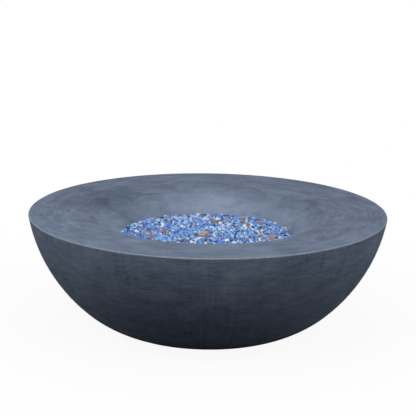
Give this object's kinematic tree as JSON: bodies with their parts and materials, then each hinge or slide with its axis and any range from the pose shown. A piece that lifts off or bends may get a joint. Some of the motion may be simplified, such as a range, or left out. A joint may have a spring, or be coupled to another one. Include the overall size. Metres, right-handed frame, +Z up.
{
  "type": "gas fire bowl",
  "caption": "Round cast-concrete gas fire bowl: a crater deck around a bed of fire glass and lava rock, a hidden ring burner, and a valve knob and push igniter at the back.",
  "frame": {"origin": "middle of the circle that the feet stand on, at floor level", "axes": "+Z up along the bowl's axis, -Y towards the pictured front, +Y towards the controls"},
  "size_m": [1.0654, 1.0654, 0.348],
  "materials": {
    "cast_concrete": "matte",
    "steel": "satin",
    "steel_hose": "satin",
    "aluminium": "satin",
    "brass": "satin",
    "copper": "satin",
    "rubber": "matte",
    "black_plastic": "satin",
    "lead_sleeve": "matte",
    "battery_sleeve": "gloss",
    "white_ceramic": "gloss",
    "lava": "matte",
    "fire_glass": "gloss"
  },
  "bodies": {
    "bowl": {"bowl_shell": "cast_concrete", "base_plate": "steel", "base_plate_screws": "steel", "base_inserts": "brass", "base_feet": "rubber", "burner_pan": "steel", "burner_ring": "steel", "burner_nipple": "steel", "burner_locknuts": "brass", "gas_elbow": "brass", "air_mixer": "brass", "gas_orifice": "brass", "burner_hose": "steel_hose", "inlet_tube": "aluminium", "line_nuts": "brass", "inlet_fitting": "brass", "inlet_nut": "brass", "control_panel": "steel", "panel_screws": "steel", "panel_inserts": "brass", "valve_screws": "steel", "valve_bonnet": "aluminium", "valve_body": "aluminium", "knob_dial": "black_plastic", "igniter_housing": "black_plastic", "igniter_nut": "black_plastic", "igniter_battery": "battery_sleeve", "contact_spring": "steel", "button_spring": "steel", "igniter_hood": "steel", "hood_screws": "steel", "spark_electrode": "white_ceramic", "flame_sensor": "steel", "spark_lead": "lead_sleeve", "sensor_lead": "copper", "lava_rock_base": "lava", "fire_glass_bed": "fire_glass", "lava_rocks": "lava", "glass_chips": "fire_glass"},
    "plug": {"valve_plug": "brass", "stem_spring": "steel"},
    "knob": {"valve_stem": "steel", "control_knob": "black_plastic"},
    "cap": {"igniter_cap": "black_plastic"},
    "button": {"igniter_button": "black_plastic"},
    "shutter": {"air_shutter": "steel"}
  },
  "joints": [
    {"name": "valve_turn", "type": "hinge", "parent": "bowl", "child": "plug", "pos_m": [-0.03, 0.47331, 0.20753], "axis": [0, 0.8829, -0.4695], "range_deg": [0, 180]},
    {"name": "knob_push", "type": "slide", "parent": "plug", "child": "knob", "axis": [0, -0.8829, 0.4695], "range_m": [0, 0.003], "stiffness_N_per_m": 800, "springref_m": -0.004, "deforming": ["stem_spring"]},
    {"name": "igniter_cap_off", "type": "slide", "parent": "bowl", "child": "cap", "axis": [0, 0.8829, -0.4695], "range_m": [0, 0.025]},
    {"name": "igniter_push", "type": "slide", "parent": "cap", "child": "button", "axis": [0, -0.8829, 0.4695], "range_m": [0, 0.003], "stiffness_N_per_m": 300, "springref_m": -0.004, "deforming": ["button_spring"]},
    {"name": "air_shutter_turn", "type": "hinge", "parent": "bowl", "child": "shutter", "pos_m": [0, 0.053, 0.177], "axis": [0, 1, 0], "range_deg": [0, 45]}
  ]
}
